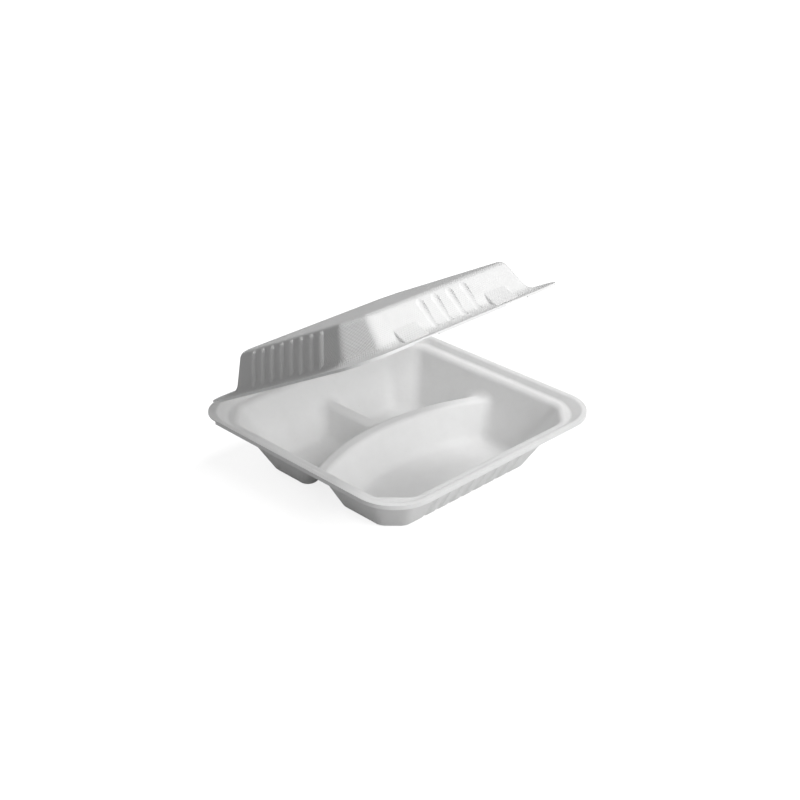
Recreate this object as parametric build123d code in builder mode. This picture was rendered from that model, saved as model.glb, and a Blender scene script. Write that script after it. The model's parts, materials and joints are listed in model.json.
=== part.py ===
from build123d import *
import os
from math import cos, radians, sin, tan

# Takeaway box of moulded plant fibre: a base tray with three compartments and a lid, one sheet
# folded along a crease. X runs along the crease, the crease is at +Y and the front at -Y.
# The origin is on the table under the middle of the tray. The lid stands part open.

# Sheet, in millimetres
wall = 1.0
cut_overrun = 20.0

# Overall sizes
box_width = 230.0
base_depth = 224.0
base_height = 49.0
lid_height = 29.5
front_corner = 34.0
hinge_corner = 27.0

# Crease
crease_gap = 0.6
closed_gap = 0.4
lid_opening = 28.2

# Rim of the base: a lip with a turned-down edge, a step down and a ledge, from outside in
lip_width = 4.0
lip_corner = 30.0
lip_round = 3.0
edge_drop = 2.2
step_run = 4.3
step_drop = 4.5
step_corner = 35.0
step_round = 3.5
ledge_width = 6.7
ledge_round = 6.0

# Compartments: the mouth at the ledge narrows to the floor, with cut corners
mouth_cut = 19.5
side_run = 22.25
front_run = 24.75
floor_cut = 14.5
facet_round = 12.0
floor_round = 9.0

# Dividers: an arched one between front and back, a lower straight one behind it
divider_drop = 20.0
divider_top = 10.0
divider_draft = 25.0
divider_round = 4.0
divider_middle = 17.0
arch_radius = 185.0
arch_sweep = 80.0
short_drop = 4.5
pocket_round = 10.0

# Flutes down the outside of the front wall of the base
flute_count = 8
flute_pitch = 13.0
flute_radius = 4.0
flute_depth = 1.6
flute_top = 34.0

# Flange of the lid, which lies inside the lip of the base, with a turned-down edge
lid_width = 216.6
lid_depth = 213.0
lid_front_corner = 28.0
lid_hinge_corner = 27.0
lid_edge_drop = 1.1

# Walls of the lid, from the edges of its flange to where their straight lines meet flange and roof
lid_side_foot = 9.7
lid_side_roof = 22.5
lid_back_foot = 17.1
lid_back_roof = 29.6
lid_front_foot = 14.3
lid_front_roof = 25.6
lid_foot_cut = 21.0
lid_roof_cut = 14.7
lid_facet_round = 8.0
lid_foot_round = 11.0
lid_roof_round = 7.0

# Ribs up the side walls of the lid and grooves down its front wall
rib_count = 8
rib_pitch = 12.7
rib_middle = 107.5
rib_radius = 4.0
rib_rise = 1.6
rib_top = 24.0
groove_count = 4
groove_pitch = 15.0
groove_radius = 5.0
groove_depth = 1.5
groove_foot = 5.0
groove_top = 24.0

# Wedge bosses that fall from the front wall of the lid to its flange
boss_spacing = 94.0
boss_width = 24.0
boss_height = 12.5
boss_nose = 0.8
boss_reach = 10.0
boss_round = 1.5

# Levels and places that follow from the sizes above
ledge_z = base_height - step_drop
divider_z = base_height - divider_drop
crease_y = base_depth / 2
axis_z = base_height + closed_gap / 2
step_inset = lip_width + step_run
mouth_inset = step_inset + ledge_width
mouth_width = box_width - 2 * mouth_inset
mouth_depth = base_depth - 2 * mouth_inset
floor_width = mouth_width - 2 * side_run
floor_depth = mouth_depth - 2 * front_run
tilt = radians(lid_opening)
lid_plane = Plane(origin=(0, crease_y, axis_z), x_dir=(1, 0, 0), z_dir=(0, sin(tilt), cos(tilt)))
lid_level = lid_plane.offset(closed_gap / 2)
lid_up = Axis(lid_level.origin, lid_level.z_dir)


def flange_outline(plane, width, back, front, back_corner, front_corner):
    """Outline of a flange, with its own corners at the crease and at the front."""
    with BuildSketch(plane) as outline:
        with Locations((0, (back + front) / 2)):
            Rectangle(width, back - front)
        fillet(outline.vertices().group_by(Axis.Y)[0], radius=front_corner)
        fillet(outline.vertices().group_by(Axis.Y)[-1], radius=back_corner)
    return outline.sketch


def base_flange(inset):
    """Outline of the base's flange, or one that lies inside it."""
    back = crease_y - crease_gap / 2 - inset
    front = inset - crease_y
    corners = (hinge_corner - inset, front_corner - inset)
    return flange_outline(Plane.XY.offset(base_height), box_width - 2 * inset, back, front, *corners)


def lid_flange(inset):
    """Outline of the lid's flange, or one that lies inside it."""
    back = -crease_gap / 2 - inset
    front = inset - lid_depth
    corners = (lid_hinge_corner - inset, lid_front_corner - inset)
    return flange_outline(lid_level, lid_width - 2 * inset, back, front, *corners)


def rounded_outline(plane, inset, corner):
    """Rounded rectangle that keeps a distance from the edges of the base."""
    with BuildSketch(plane) as outline:
        RectangleRounded(box_width - 2 * inset, base_depth - 2 * inset, corner)
    return outline.sketch


def cut_corner_outline(plane, width, back, front, cut, softening):
    """Rectangle with its corners cut at 45 degrees and the eight angles softened."""
    with BuildSketch(plane) as outline:
        with Locations((0, (back + front) / 2)):
            Rectangle(width, back - front)
        chamfer(outline.vertices(), length=cut)
        fillet(outline.vertices(), radius=softening)
    return outline.sketch


def divider_points(height, skin):
    """Corners of a divider's section, a sheet thickness smaller where skin is given."""
    half_top = divider_top / 2 - skin
    half_foot = half_top + (height + cut_overrun) * tan(radians(divider_draft))
    return [(-half_foot, -cut_overrun), (-half_top, height), (half_top, height), (half_foot, -cut_overrun)]


def compartments(skin, bottom):
    """Body of the three compartments: the hollow itself, or its outside where skin is given."""
    sweep_half = radians(arch_sweep / 2)
    arch_centre = (0, divider_middle - arch_radius, 0)
    arch_start = Plane(
        origin=arch_centre,
        x_dir=(sin(sweep_half), cos(sweep_half), 0),
        z_dir=(cos(sweep_half), -sin(sweep_half), 0),
    )
    with BuildPart() as body:
        half_floor = floor_depth / 2 - wall + skin
        half_mouth = mouth_depth / 2 + skin
        floor_span = floor_width - 2 * wall + 2 * skin
        floor_face = cut_corner_outline(
            Plane.XY.offset(bottom), floor_span, half_floor, -half_floor, floor_cut, facet_round
        )
        mouth_face = cut_corner_outline(
            Plane.XY.offset(ledge_z), mouth_width + 2 * skin, half_mouth, -half_mouth, mouth_cut, facet_round
        )
        loft([floor_face, mouth_face], ruled=True)
        # Arched divider
        with BuildSketch(arch_start) as arch_section:
            with Locations((arch_radius, 0)):
                Polygon(*divider_points(divider_z - skin, skin), align=None)
            fillet(arch_section.vertices().group_by(Axis.Y)[-1], radius=divider_round - skin)
        revolve(axis=Axis(arch_centre, (0, 0, 1)), revolution_arc=arch_sweep, mode=Mode.SUBTRACT)
        rims = body.edges(Select.LAST).filter_by(GeomType.BSPLINE)
        # Straight divider, from under the arch to the wall at the crease
        with BuildSketch(Plane.XZ.offset(-divider_middle)) as short_section:
            Polygon(*divider_points(divider_z - short_drop - skin, skin), align=None)
            fillet(short_section.vertices().group_by(Axis.Y)[-1], radius=divider_round - skin)
        extrude(amount=-base_depth / 2, mode=Mode.SUBTRACT)
        rims += body.edges(Select.LAST).filter_by(GeomType.LINE, reverse=True)
        # Rounded pocket corners, where the dividers run into the walls, and rounded floor edges
        fillet(rims.filter_by_position(Axis.Z, floor_round, divider_z), radius=pocket_round + skin)
        fillet(body.edges().group_by(Axis.Z)[0], radius=floor_round + skin)
    return body.part


def round_bar(start, end, radius):
    """Round bar between two points, with a dome on its end."""
    along = Plane(origin=end, z_dir=end - start)
    with BuildPart() as bar:
        with BuildSketch(along):
            Circle(radius)
        extrude(amount=-(end - start).length)
        with Locations(along):
            Sphere(radius)
    return bar.part


def flutes(skin):
    """Bars that press the flutes into the front wall of the base, fading out under the rim."""
    slope = front_run / ledge_z
    low_y = -floor_depth / 2 - flute_radius + flute_depth
    high_y = low_y - slope * flute_top - flute_depth
    bars = []
    for index in range(flute_count):
        x = (index - (flute_count - 1) / 2) * flute_pitch
        bars.append(round_bar(Vector(x, low_y, 0), Vector(x, high_y, flute_top), flute_radius + skin))
    return bars


# Outside of the base: flange, step and compartments
with BuildPart() as base_outside:
    add(compartments(wall, 0))
    step_top = rounded_outline(Plane.XY.offset(base_height), lip_width - wall, lip_corner)
    step_foot = rounded_outline(Plane.XY.offset(ledge_z - wall), step_inset - wall, step_corner)
    loft([step_foot, step_top], ruled=True)
    ledge_under = base_outside.faces().filter_by(Plane.XY).sort_by(Axis.Z)[-2]
    fillet(ledge_under.outer_wire().edges(), radius=step_round + wall)
    ledge_under = base_outside.faces().filter_by(Plane.XY).sort_by(Axis.Z)[-2]
    fillet(ledge_under.inner_wires()[0].edges(), radius=ledge_round - wall)
    extrude(base_flange(0), amount=-wall)

# Hollow of the base, open at the top
with BuildPart() as base_hollow:
    add(compartments(0, wall))
    step_top = rounded_outline(Plane.XY.offset(base_height), lip_width, lip_corner)
    step_foot = rounded_outline(Plane.XY.offset(ledge_z), step_inset, step_corner)
    loft([step_foot, step_top], ruled=True)
    ledge_face = base_hollow.faces().filter_by(Plane.XY).sort_by(Axis.Z)[-2]
    fillet(ledge_face.outer_wire().edges(), radius=step_round)
    ledge_face = base_hollow.faces().filter_by(Plane.XY).sort_by(Axis.Z)[-2]
    fillet(ledge_face.inner_wires()[0].edges(), radius=ledge_round)
    extrude(rounded_outline(Plane.XY.offset(base_height), lip_width, lip_corner), amount=cut_overrun)
    add(flutes(wall), mode=Mode.SUBTRACT)

# Turned-down edge along the front and the sides of the base
with BuildPart() as base_edge:
    extrude(base_flange(0), amount=-wall - edge_drop)
    extrude(base_flange(wall), amount=-wall - edge_drop, mode=Mode.SUBTRACT)
    split(bisect_by=Plane.XZ.offset(hinge_corner - crease_y), keep=Keep.TOP)

with BuildPart() as base_tray:
    add(base_outside.part)
    add(flutes(0), mode=Mode.SUBTRACT)
    add(base_hollow.part, mode=Mode.SUBTRACT)
    lip_face = base_tray.faces().sort_by(Axis.Z)[-1]
    fillet(lip_face.inner_wires()[0].edges(), radius=lip_round)
    add(base_edge.part)


def lid_point(x, y, z):
    """Point given in the lid's own directions, from the crease and the underside of its flange."""
    return lid_level.from_local_coords(Vector(x, y, z))


def lid_walls(skin, foot, top):
    """Sections of the body under the roof of the lid: the hollow's, or its outside's with skin."""
    inset = wall - skin
    sizes = [
        (foot, lid_side_foot + inset, lid_back_foot + inset, lid_front_foot + inset, lid_foot_cut),
        (top, lid_side_roof + inset, lid_back_roof + inset, lid_front_roof + inset, lid_roof_cut),
    ]
    sections = []
    for level, side, back, front, cut in sizes:
        place = lid_level.offset(level)
        sections.append(
            cut_corner_outline(place, lid_width - 2 * side, -back, front - lid_depth, cut, lid_facet_round)
        )
    return sections


def side_ribs(skin):
    """Round ribs up both side walls of the lid, from its flange to under the edge of the roof."""
    slope = (lid_side_roof - lid_side_foot) / lid_height
    foot_x = lid_width / 2 - lid_side_foot - rib_radius + rib_rise
    bars = []
    for index in range(rib_count):
        y = (index - (rib_count - 1) / 2) * rib_pitch - rib_middle
        for side in (-1, 1):
            foot = lid_point(side * foot_x, y, 0)
            top = lid_point(side * (foot_x - slope * rib_top), y, rib_top)
            bars.append(round_bar(foot, top, rib_radius - skin))
    return bars


def front_grooves(skin):
    """Round bars that press the grooves into the front wall of the lid, fading out at its foot."""
    slope = (lid_front_roof - lid_front_foot) / lid_height
    foot_y = lid_front_foot + slope * groove_foot - groove_radius - lid_depth
    top_y = lid_front_foot + slope * groove_top - groove_radius + groove_depth - lid_depth
    bars = []
    for index in range(groove_count):
        x = (index - (groove_count - 1) / 2) * groove_pitch
        foot = lid_point(x, foot_y, groove_foot)
        top = lid_point(x, top_y, groove_top)
        bars.append(round_bar(foot, top, groove_radius + skin))
    return bars


def bosses(skin):
    """Two wedges that fall from the front wall of the lid to its flange."""
    slope = (lid_front_roof - lid_front_foot) / lid_height
    nose_y = boss_reach + skin - lid_depth
    back_y = lid_front_roof - lid_depth
    top_y = lid_front_foot + slope * boss_height - lid_depth
    top_z = boss_height - skin
    nose_z = boss_nose - skin + wall
    wedges = []
    for side in (-1, 1):
        middle = lid_point(side * boss_spacing / 2 - boss_width / 2 + skin, 0, 0)
        cheek = Plane(origin=middle, x_dir=lid_level.y_dir, z_dir=lid_level.x_dir)
        with BuildPart() as wedge:
            with BuildSketch(cheek):
                with BuildLine():
                    Polyline((back_y, 0), (nose_y, 0), (nose_y, nose_z), (top_y, top_z), (back_y, top_z), close=True)
                make_face()
            extrude(amount=boss_width - 2 * skin)
            crown = wedge.faces().sort_by(lid_up)[-2]
            fillet(crown.edges().sort_by(lid_up)[1:], radius=boss_round)
        wedges.append(wedge.part)
    return wedges


# Turned-down edge along the sides and the front of the lid, left out in front of the bosses
with BuildPart() as lid_edge:
    extrude(lid_flange(0), amount=-lid_edge_drop)
    extrude(lid_flange(wall), amount=-lid_edge_drop, mode=Mode.SUBTRACT)
    with BuildSketch(lid_level) as gaps:
        with Locations((0, -lid_hinge_corner / 2)):
            Rectangle(lid_width, lid_hinge_corner)
        with Locations((0, -lid_depth)):
            with GridLocations(boss_spacing, 0, 2, 1):
                Rectangle(boss_width, boss_reach)
    extrude(amount=-lid_edge_drop, mode=Mode.SUBTRACT)

# Outside of the lid: flange, walls, ribs, bosses and grooves
with BuildPart() as lid_outside:
    extrude(lid_flange(0), amount=wall)
    loft(lid_walls(wall, 0, lid_height), ruled=True)
    foot_edges = lid_outside.faces().filter_by(lid_level).sort_by(lid_up)[-2].inner_wires()[0].edges()
    fillet(foot_edges, radius=lid_foot_round)
    fillet(lid_outside.edges().group_by(lid_up)[-1], radius=lid_roof_round)
    add(side_ribs(0))
    add(bosses(0))
    add(front_grooves(0), mode=Mode.SUBTRACT)

# Hollow of the lid, open towards the base
with BuildPart() as lid_hollow:
    extrude(lid_flange(-cut_overrun), amount=-cut_overrun)
    loft(lid_walls(0, 0, lid_height - wall), ruled=True)
    foot_edges = lid_hollow.faces().filter_by(lid_level).sort_by(lid_up)[-2].inner_wires()[0].edges()
    fillet(foot_edges, radius=lid_foot_round + wall)
    fillet(lid_hollow.edges().group_by(lid_up)[-1], radius=lid_roof_round - wall)
    add(side_ribs(wall))
    add(bosses(wall))
    add(front_grooves(wall), mode=Mode.SUBTRACT)

with BuildPart() as lid:
    add(lid_outside.part)
    add(lid_hollow.part, mode=Mode.SUBTRACT)
    add(lid_edge.part)

os.makedirs("parts", exist_ok=True)
base_tray.part.label = "base_tray"
export_step(base_tray.part, "parts/base_tray.step")
lid.part.label = "lid"
export_step(lid.part, "parts/lid.step")
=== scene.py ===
import json
import math

import bmesh
import bpy
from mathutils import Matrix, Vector


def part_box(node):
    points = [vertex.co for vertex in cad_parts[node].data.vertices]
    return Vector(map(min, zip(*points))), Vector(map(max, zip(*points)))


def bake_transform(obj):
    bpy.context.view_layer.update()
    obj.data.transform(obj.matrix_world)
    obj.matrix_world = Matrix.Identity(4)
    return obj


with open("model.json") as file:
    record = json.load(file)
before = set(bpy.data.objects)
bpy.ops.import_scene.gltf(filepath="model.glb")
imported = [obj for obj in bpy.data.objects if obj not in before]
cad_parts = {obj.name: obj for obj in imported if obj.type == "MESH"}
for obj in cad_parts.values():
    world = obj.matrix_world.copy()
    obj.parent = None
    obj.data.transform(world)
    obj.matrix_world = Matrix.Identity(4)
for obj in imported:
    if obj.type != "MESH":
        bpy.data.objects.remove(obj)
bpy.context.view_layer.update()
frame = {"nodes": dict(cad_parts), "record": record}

# The lid stands part open about the crease, which runs along X, and is shut at the lower limit.
hinge = frame["record"]["behaviour"]["joints"][0]
crease = Vector(hinge["pos_m"])
lid_opening = math.radians(-hinge["range_deg"][0])
sheet = 0.001

# Fibre: tones that drift between two pale greys, sparse flecks, and the depth of the uneven skin
sheet_tones = ((0.920, 0.920, 0.918, 1.0), (0.955, 0.955, 0.953, 1.0))
crease_tones = ((0.880, 0.880, 0.878, 1.0), (0.930, 0.930, 0.928, 1.0))
fleck_colour = (0.70, 0.69, 0.67, 1.0)
fleck_strength = 0.2
skin_depth = 0.00008

# Screen of the mould: its pitch, its two sets of wires with their depths, and its print on each piece
screen_pitch = 0.0016
wire_sets = (("ADD", 1.0), ("SUBTRACT", 0.35))
tray_print = 0.3
lid_print = 2.4
crease_print = 0.0

# Ways the screen is laid: the directions that it spans, the one that it faces, how squarely a face looks
# that way where the print starts and where it is whole, and its share there, less on front and back walls
screen_lays = (
    ("X", "Y", "Z", 0.55, 0.72, 1.0),
    ("X", "Z", "Y", 0.70, 0.84, 0.3),
    ("Y", "Z", "X", 0.45, 0.60, 1.0),
)


# Node groups for the effects that the sheet of the tray and the sheet of the lid share

def new_group(name, inputs, outputs):
    """An empty shader node group with the named inputs and outputs."""
    group = bpy.data.node_groups.new(name, "ShaderNodeTree")
    for label, kind, value in inputs:
        socket = group.interface.new_socket(label, in_out="INPUT", socket_type=kind)
        if value is not None:
            socket.default_value = value
    for label, kind in outputs:
        group.interface.new_socket(label, in_out="OUTPUT", socket_type=kind)
    return group, group.nodes.new("NodeGroupInput"), group.nodes.new("NodeGroupOutput")


def math_node(tree, operation, first, second=None):
    """A Math node whose inputs are sockets or plain numbers."""
    node = tree.nodes.new("ShaderNodeMath")
    node.operation = operation
    for index, value in enumerate((first, second)):
        if isinstance(value, bpy.types.NodeSocket):
            tree.links.new(value, node.inputs[index])
        elif value is not None:
            node.inputs[index].default_value = value
    return node.outputs["Value"]


def noise_node(tree, vector, scale, detail, roughness):
    """A Noise Texture's value, with its scale as a socket or a number."""
    node = tree.nodes.new("ShaderNodeTexNoise")
    tree.links.new(vector, node.inputs["Vector"])
    if isinstance(scale, bpy.types.NodeSocket):
        tree.links.new(scale, node.inputs["Scale"])
    else:
        node.inputs["Scale"].default_value = scale
    node.inputs["Detail"].default_value = detail
    node.inputs["Roughness"].default_value = roughness
    return node.outputs["Fac"]


def range_node(tree, value, low, high, to_low=0.0, to_high=1.0, smooth=True):
    """A Map Range node with clamped ends."""
    node = tree.nodes.new("ShaderNodeMapRange")
    node.interpolation_type = "SMOOTHSTEP" if smooth else "LINEAR"
    tree.links.new(value, node.inputs["Value"])
    for label, number in (("From Min", low), ("From Max", high), ("To Min", to_low), ("To Max", to_high)):
        node.inputs[label].default_value = number
    return node.outputs["Result"]


def fibre_clumps():
    """Cloudy tone of settled pulp, sparse dark fibre flecks, and the uneven pressed skin."""
    fleck_scale = 260.0
    fleck_turn = (0.5, 0.4, 0.7)
    fleck_stretch = (1.0, 4.0, 2.5)
    wave_scale = 70.0
    wave_share = 1.6
    group, start, end = new_group(
        "fibre_clumps",
        [("Vector", "NodeSocketVector", None), ("Cloud Scale", "NodeSocketFloat", 55.0),
         ("Skin Scale", "NodeSocketFloat", 420.0)],
        [("Tone", "NodeSocketFloat"), ("Flecks", "NodeSocketFloat"), ("Skin", "NodeSocketFloat")],
    )
    vector = start.outputs["Vector"]
    cloud = noise_node(group, vector, start.outputs["Cloud Scale"], detail=4.0, roughness=0.6)
    group.links.new(range_node(group, cloud, low=0.3, high=0.7), end.inputs["Tone"])
    stretch = group.nodes.new("ShaderNodeMapping")
    stretch.inputs["Rotation"].default_value = fleck_turn
    stretch.inputs["Scale"].default_value = fleck_stretch
    group.links.new(vector, stretch.inputs["Vector"])
    fleck = noise_node(group, stretch.outputs["Vector"], fleck_scale, detail=1.0, roughness=0.4)
    group.links.new(range_node(group, fleck, low=0.70, high=0.80), end.inputs["Flecks"])
    coarse = noise_node(group, vector, start.outputs["Skin Scale"], detail=3.0, roughness=0.6)
    wavy = noise_node(group, vector, wave_scale, detail=2.0, roughness=0.5)
    skin = math_node(group, "ADD", coarse, math_node(group, "MULTIPLY", wavy, wave_share))
    group.links.new(skin, end.inputs["Skin"])
    return group


def screen_print():
    """Imprint of the twilled screen of the mould, crossed diagonal wires, laid on the way a face looks.

    One set of wires lies deeper than the other, and the faces of cut corners take the sides' pattern."""
    group, start, end = new_group(
        "screen_print",
        [("Vector", "NodeSocketVector", None), ("Normal", "NodeSocketVector", None),
         ("Pitch", "NodeSocketFloat", screen_pitch)],
        [("Height", "NodeSocketFloat")],
    )
    place = group.nodes.new("ShaderNodeSeparateXYZ")
    facing = group.nodes.new("ShaderNodeSeparateXYZ")
    group.links.new(start.outputs["Vector"], place.inputs["Vector"])
    group.links.new(start.outputs["Normal"], facing.inputs["Vector"])
    turns = math_node(group, "DIVIDE", math.pi * math.sqrt(2.0), start.outputs["Pitch"])
    total = None
    for across, up, out, starts, whole, share in screen_lays:
        wires = None
        for direction, depth in wire_sets:
            along = math_node(group, direction, place.outputs[across], place.outputs[up])
            wave = math_node(group, "SINE", math_node(group, "MULTIPLY", along, turns))
            wire = math_node(group, "MULTIPLY", wave, depth)
            wires = wire if wires is None else math_node(group, "ADD", wires, wire)
        squarely = math_node(group, "ABSOLUTE", facing.outputs[out])
        weight = range_node(group, squarely, starts, whole, to_high=share)
        lay = math_node(group, "MULTIPLY", wires, weight)
        total = lay if total is None else math_node(group, "ADD", total, lay)
    group.links.new(total, end.inputs["Height"])
    return group


fibre_group = fibre_clumps()
screen_group = screen_print()


# Material of the moulded sheet

def moulded_sheet(name, tilt, outer_sign, screen_share, tones):
    """Matte moulded fibre: pressed smooth on one side, printed by the screen on the other.

    tilt turns the pattern with the piece; outer_sign says which way the screen side looks."""
    material = bpy.data.materials.new(name)
    material.use_nodes = True
    tree = material.node_tree
    shader = tree.nodes["Principled BSDF"]
    shader.inputs["IOR"].default_value = 1.45
    shader.inputs["Specular IOR Level"].default_value = 0.22
    shader.inputs["Sheen Weight"].default_value = 0.06
    shader.inputs["Sheen Roughness"].default_value = 0.6
    coords = tree.nodes.new("ShaderNodeTexCoord")
    turn_place = tree.nodes.new("ShaderNodeMapping")
    turn_place.inputs["Rotation"].default_value = (tilt, 0.0, 0.0)
    turn_facing = tree.nodes.new("ShaderNodeMapping")
    turn_facing.inputs["Rotation"].default_value = (tilt, 0.0, 0.0)
    tree.links.new(coords.outputs["Object"], turn_place.inputs["Vector"])
    tree.links.new(coords.outputs["Normal"], turn_facing.inputs["Vector"])

    fibre = tree.nodes.new("ShaderNodeGroup")
    fibre.node_tree = fibre_group
    tree.links.new(turn_place.outputs["Vector"], fibre.inputs["Vector"])
    screen = tree.nodes.new("ShaderNodeGroup")
    screen.node_tree = screen_group
    tree.links.new(turn_place.outputs["Vector"], screen.inputs["Vector"])
    tree.links.new(turn_facing.outputs["Vector"], screen.inputs["Normal"])

    facing = tree.nodes.new("ShaderNodeSeparateXYZ")
    tree.links.new(turn_facing.outputs["Vector"], facing.inputs["Vector"])
    outwards = math_node(tree, "MULTIPLY", facing.outputs["Z"], outer_sign)
    outer = range_node(tree, outwards, low=-0.05, high=0.15)
    outer_print = math_node(tree, "MULTIPLY", screen.outputs["Height"], outer)
    printed = math_node(tree, "MULTIPLY", outer_print, screen_share)

    tone = tree.nodes.new("ShaderNodeMix")
    tone.data_type = "RGBA"
    tone.inputs["A"].default_value, tone.inputs["B"].default_value = tones
    tree.links.new(fibre.outputs["Tone"], tone.inputs["Factor"])
    flecked = tree.nodes.new("ShaderNodeMix")
    flecked.data_type = "RGBA"
    flecked.inputs["B"].default_value = fleck_colour
    tree.links.new(tone.outputs["Result"], flecked.inputs["A"])
    flecks = math_node(tree, "MULTIPLY", fibre.outputs["Flecks"], fleck_strength)
    tree.links.new(flecks, flecked.inputs["Factor"])
    tree.links.new(flecked.outputs["Result"], shader.inputs["Base Color"])

    roughness = range_node(tree, fibre.outputs["Tone"], low=0.0, high=1.0, to_low=0.80, to_high=0.92)
    tree.links.new(roughness, shader.inputs["Roughness"])
    height = math_node(tree, "ADD", fibre.outputs["Skin"], printed)
    bump = tree.nodes.new("ShaderNodeBump")
    bump.inputs["Distance"].default_value = skin_depth
    bump.inputs["Strength"].default_value = 1.0
    tree.links.new(height, bump.inputs["Height"])
    tree.links.new(bump.outputs["Normal"], shader.inputs["Normal"])
    return material


def dress(piece, material):
    """Gives a piece one material."""
    piece.data.materials.clear()
    piece.data.materials.append(material)


tray_fibre = moulded_sheet("tray_fibre", 0.0, -1.0, tray_print, sheet_tones)
lid_fibre = moulded_sheet("lid_fibre", lid_opening, 1.0, lid_print, sheet_tones)
crease_fibre = moulded_sheet("crease_fibre", 0.0, 1.0, crease_print, crease_tones)

dress(frame["nodes"]["base_tray"], tray_fibre)
dress(frame["nodes"]["lid"], lid_fibre)


# Crease between the tray and the lid

def fold_of_crease():
    """The folded line of the sheet, a thin round fold from the tray's back edge to the lid's."""
    fold_thickness = 0.00055
    half_length = 0.081
    steps = 16
    tray_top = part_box("base_tray")[1]
    tray_edge = Vector((0.0, tray_top[1] - crease.y, tray_top[2] - sheet / 2 - crease.z))
    fold_radius = tray_edge.length
    first = math.atan2(tray_edge.z, tray_edge.y)
    span = -2 * first - lid_opening
    shape = bmesh.new()
    rows = []
    for radius in (fold_radius - fold_thickness / 2, fold_radius + fold_thickness / 2):
        place = crease + Vector((-half_length, radius * math.cos(first), radius * math.sin(first)))
        rows.append(shape.verts.new(place))
    edge = shape.edges.new(rows)
    bmesh.ops.spin(shape, geom=[*rows, edge], cent=crease, axis=(1.0, 0.0, 0.0), angle=span, steps=steps)
    swept = bmesh.ops.extrude_face_region(shape, geom=shape.faces[:])
    moved = [item for item in swept["geom"] if isinstance(item, bmesh.types.BMVert)]
    bmesh.ops.translate(shape, verts=moved, vec=(2 * half_length, 0.0, 0.0))
    bmesh.ops.recalc_face_normals(shape, faces=shape.faces[:])
    mesh = bpy.data.meshes.new("crease_fold")
    shape.to_mesh(mesh)
    shape.free()
    mesh.shade_smooth()
    piece = bpy.data.objects.new("crease_fold", mesh)
    bpy.context.scene.collection.objects.link(piece)
    dress(piece, crease_fibre)
    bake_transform(piece)


fold_of_crease()


# Floor, light and camera

def seen_directly(tree):
    """1 where the camera or a reflection looks straight at a surface, otherwise 0."""
    path = tree.nodes.new("ShaderNodeLightPath")
    return math_node(tree, "MAXIMUM", path.outputs["Is Camera Ray"], path.outputs["Is Glossy Ray"])


def pale_floor():
    """A wide plain floor that reads white and keeps the shadow of the box."""
    half_size = 6.0
    floor_grey = (0.65, 0.65, 0.65, 1.0)
    shadow_reach = 0.25
    white_reach = 4 * shadow_reach
    near_glow = 0.80
    shape = bmesh.new()
    bmesh.ops.create_grid(shape, x_segments=1, y_segments=1, size=half_size)
    mesh = bpy.data.meshes.new("floor")
    shape.to_mesh(mesh)
    shape.free()
    floor = bpy.data.objects.new("floor", mesh)
    bpy.context.scene.collection.objects.link(floor)
    material = bpy.data.materials.new("floor_paint")
    material.use_nodes = True
    tree = material.node_tree
    shader = tree.nodes["Principled BSDF"]
    shader.inputs["Base Color"].default_value = floor_grey
    shader.inputs["Roughness"].default_value = 1.0
    shader.inputs["Specular IOR Level"].default_value = 0.0
    coords = tree.nodes.new("ShaderNodeTexCoord")
    away = tree.nodes.new("ShaderNodeVectorMath")
    away.operation = "LENGTH"
    tree.links.new(coords.outputs["Object"], away.inputs[0])
    white = range_node(tree, away.outputs["Value"], shadow_reach, white_reach, to_low=near_glow)
    glow = tree.nodes.new("ShaderNodeEmission")
    tree.links.new(math_node(tree, "MULTIPLY", seen_directly(tree), white), glow.inputs["Strength"])
    both = tree.nodes.new("ShaderNodeAddShader")
    tree.links.new(shader.outputs["BSDF"], both.inputs[0])
    tree.links.new(glow.outputs["Emission"], both.inputs[1])
    tree.links.new(both.outputs["Shader"], tree.nodes["Material Output"].inputs["Surface"])
    dress(floor, material)


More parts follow.
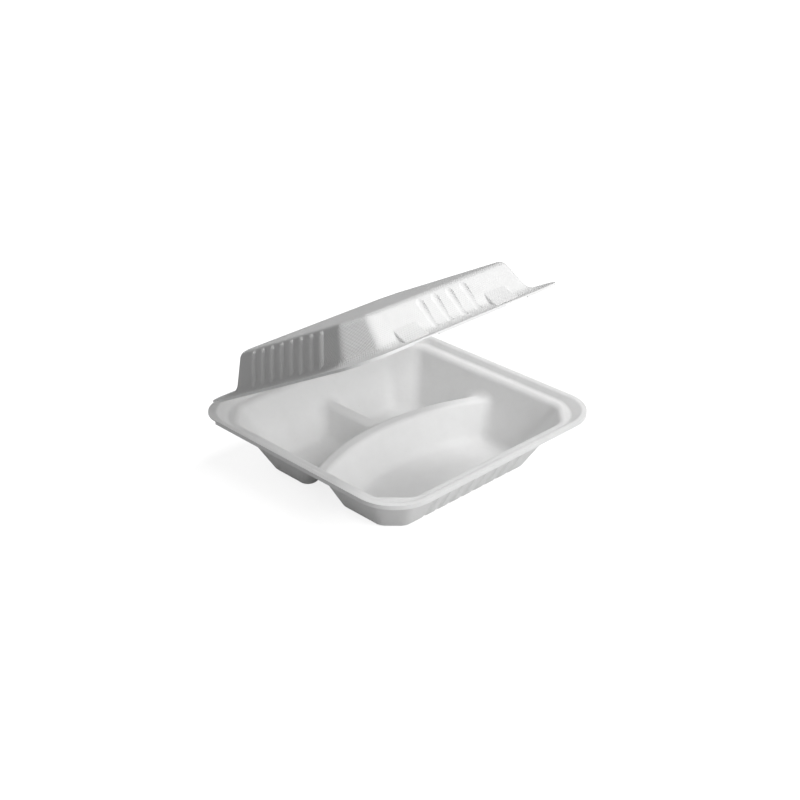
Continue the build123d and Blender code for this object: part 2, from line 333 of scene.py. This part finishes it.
def soft_box(name, azimuth, elevation, power):
    """A square area lamp that looks at the box, at an angle from its front and above the floor."""
    distance = 2.0
    lamp_size = 0.9
    box_middle = Vector((0.0, 0.0, 0.06))
    turn = math.radians(azimuth)
    rise = math.radians(elevation)
    towards = Vector((math.sin(turn) * math.cos(rise), -math.cos(turn) * math.cos(rise), math.sin(rise)))
    lamp = bpy.data.lights.new(name, "AREA")
    lamp.shape = "SQUARE"
    lamp.size = lamp_size
    lamp.energy = power
    holder = bpy.data.objects.new(name, lamp)
    holder.location = box_middle + towards * distance
    holder.rotation_mode = "QUATERNION"
    holder.rotation_quaternion = (-towards).to_track_quat("-Z", "Y")
    bpy.context.scene.collection.objects.link(holder)


def room_light():
    """Even light from all round, and white where the camera looks past the floor."""
    room_strength = 0.19
    world = bpy.data.worlds.new("room")
    world.use_nodes = True
    tree = world.node_tree
    background = tree.nodes["Background"]
    background.inputs["Color"].default_value = (1.0, 1.0, 1.0, 1.0)
    strength = range_node(tree, seen_directly(tree), low=0.0, high=1.0, to_low=room_strength, smooth=False)
    tree.links.new(strength, background.inputs["Strength"])
    bpy.context.scene.world = world


def photo_camera():
    """Camera at the photograph's angle: azimuth, elevation and distance from the middle of the rim."""
    azimuth = math.radians(-44.42)
    elevation = math.radians(27.50)
    distance = 1.1609
    focal_pixels = 1486.3
    image_pixels = 800.0
    rim_middle = Vector((0.0, 0.0, 0.049))
    rim_pixel = (399.33, 408.79)
    back = Vector((
        math.sin(azimuth) * math.cos(elevation),
        -math.cos(azimuth) * math.cos(elevation),
        math.sin(elevation),
    ))
    lens = bpy.data.cameras.new("camera")
    lens.sensor_width = 36.0
    lens.lens = focal_pixels / image_pixels * lens.sensor_width
    lens.shift_x = (image_pixels / 2 - rim_pixel[0]) / image_pixels
    lens.shift_y = (rim_pixel[1] - image_pixels / 2) / image_pixels
    camera = bpy.data.objects.new("camera", lens)
    camera.location = rim_middle + back * distance
    camera.rotation_mode = "QUATERNION"
    camera.rotation_quaternion = (-back).to_track_quat("-Z", "Y")
    bpy.context.scene.collection.objects.link(camera)
    bpy.context.scene.camera = camera


pale_floor()
soft_box("low_front_light", azimuth=0.0, elevation=20.0, power=9.2)
soft_box("front_light", azimuth=0.0, elevation=36.0, power=10.6)
soft_box("right_light", azimuth=80.0, elevation=55.0, power=16.5)
room_light()
photo_camera()
bpy.context.scene.view_settings.view_transform = "Standard"
